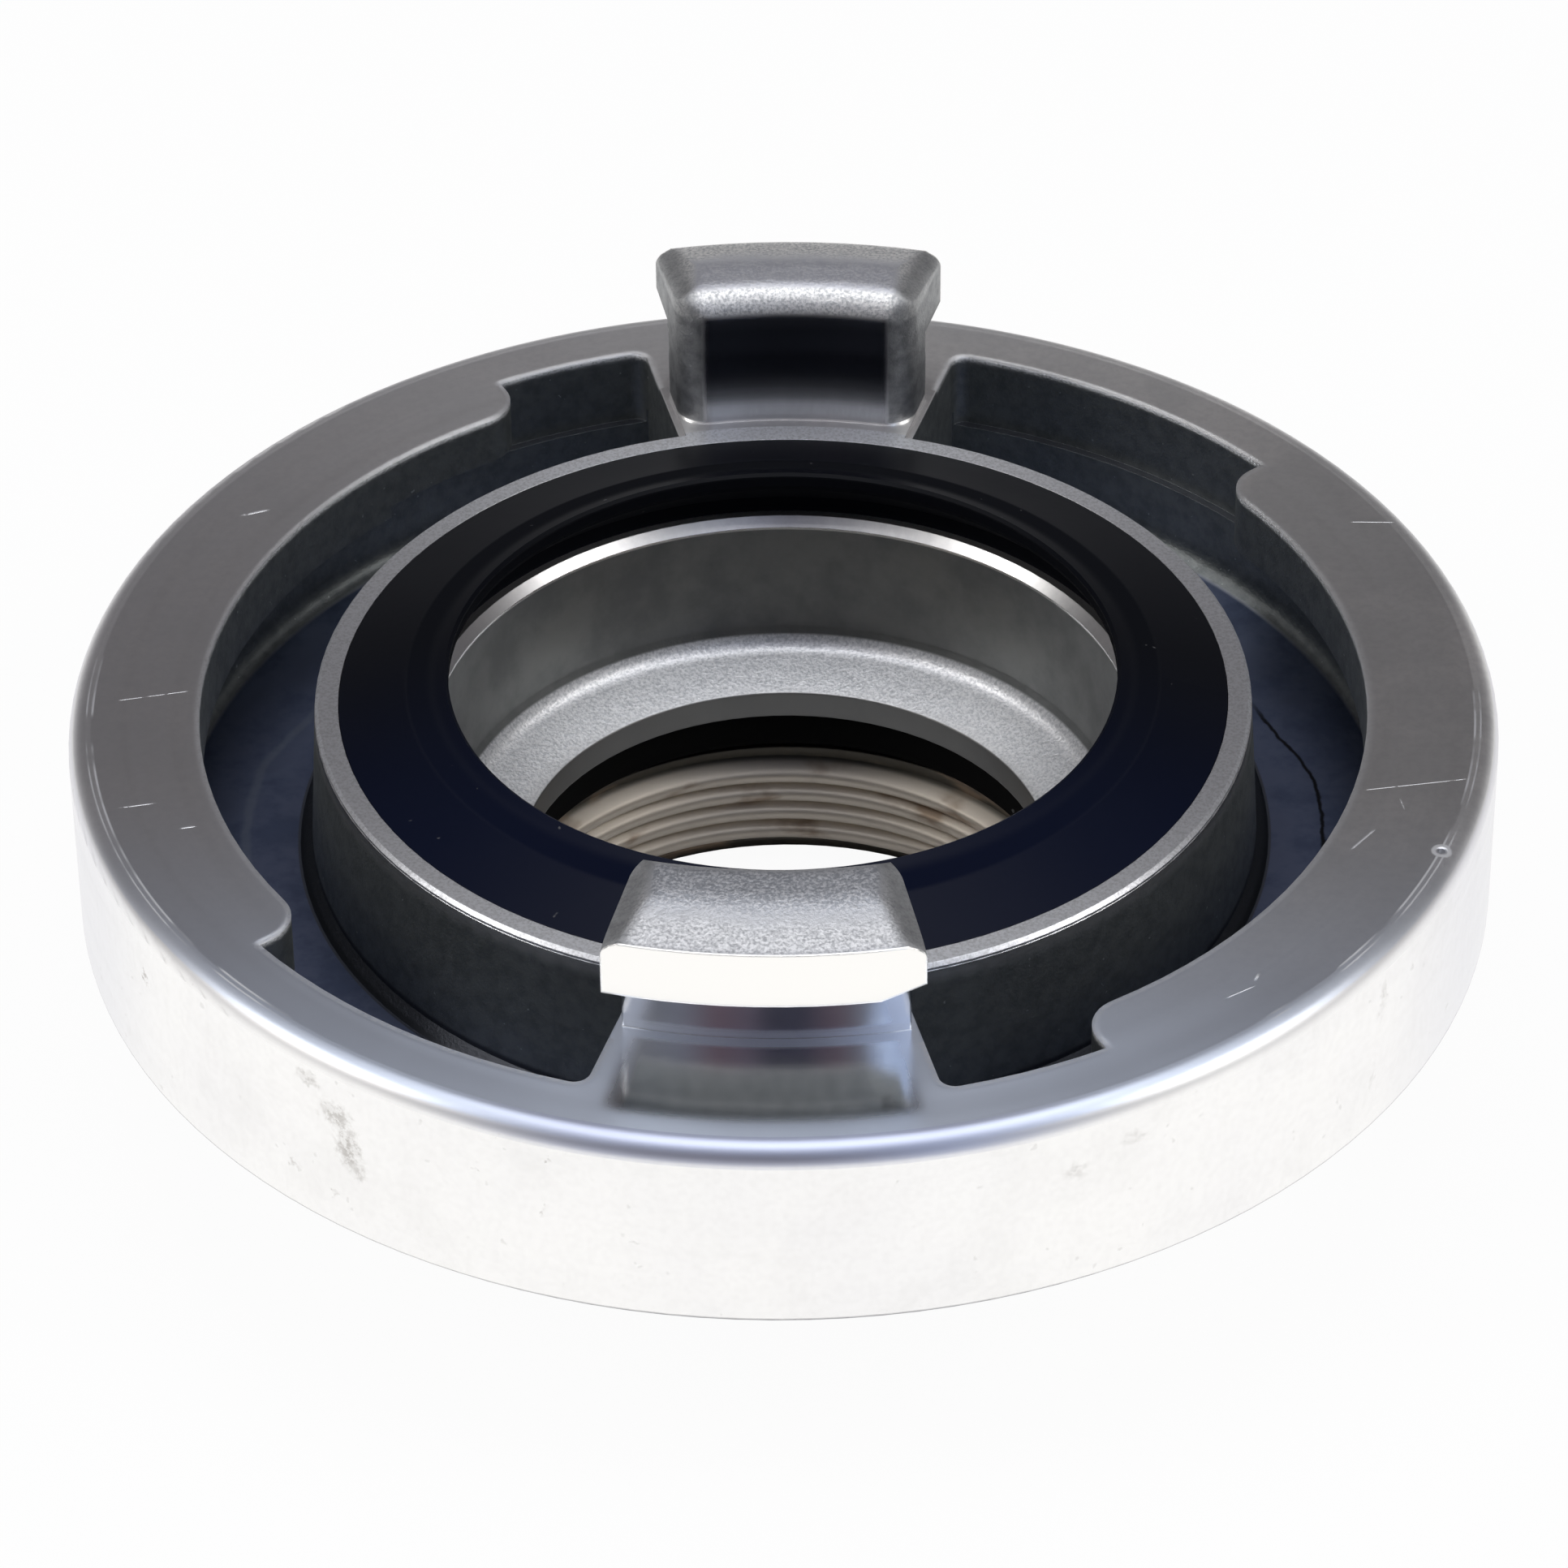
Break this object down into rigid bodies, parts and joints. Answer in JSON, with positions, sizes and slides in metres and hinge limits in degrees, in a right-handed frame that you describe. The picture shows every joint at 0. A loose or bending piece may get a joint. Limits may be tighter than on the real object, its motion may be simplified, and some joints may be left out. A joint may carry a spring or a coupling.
{
  "type": "quarter turn fire hose coupling",
  "caption": "Fixed half of a quarter turn claw coupling: flanged ring with hooked lugs, a raised collar with a black face seal, and an internally threaded pipe socket below.",
  "frame": {"origin": "centre of the pipe socket's bottom face, on the coupling's axis", "axes": "+Z along the coupling's axis towards the lugs and the seal; the lugs stand on the Y axis, one at -Y and one at +Y"},
  "size_m": [0.098, 0.098, 0.0406],
  "materials": {
    "cast_aluminium": "turned bright on the rim, the flange top and the lugs' faces, as cast in the grooves",
    "seal_rubber": "smooth moulded black rubber",
    "gasket_rubber": "matt black rubber"
  },
  "bodies": {
    "root": {"coupling_body": "cast_aluminium", "face_seal": "seal_rubber", "thread_gasket": "gasket_rubber"}
  },
  "joints": []
}
